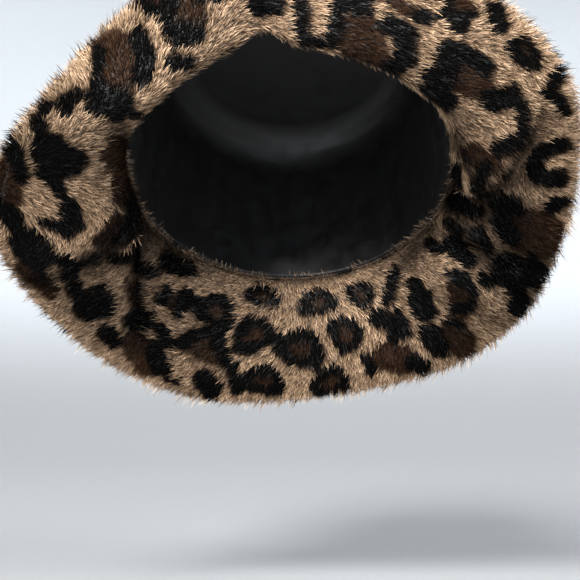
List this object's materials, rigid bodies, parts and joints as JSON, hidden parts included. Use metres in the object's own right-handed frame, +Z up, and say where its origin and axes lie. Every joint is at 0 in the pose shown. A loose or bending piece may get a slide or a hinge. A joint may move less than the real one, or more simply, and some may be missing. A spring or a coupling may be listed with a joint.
{
  "type": "fur bucket hat",
  "caption": "Soft bucket hat of leopard-print faux fur with a wide double brim, tipped back so that the brim frames the face, over a black cloth lining.",
  "frame": {"origin": "where the hat sits on the head: the middle of the lining's inner face at the top of the crown", "axes": "+X to the wearer's left, -Y to the front, +Z up, with the hat tipped back by 39 degrees as it is worn"},
  "size_m": [0.313, 0.2337, 0.269],
  "materials": {
    "brim_fur": "short soft faux fur, tan with brown and black leopard rosettes",
    "outer_fur": "short soft faux fur, tan with brown and black leopard rosettes",
    "lining": "smooth black woven lining cloth"
  },
  "bodies": {
    "root": {"brim_under": "brim_fur", "brim_upper": "outer_fur", "crown_side": "outer_fur", "crown_top": "outer_fur", "crown_lining": "lining"}
  },
  "joints": []
}
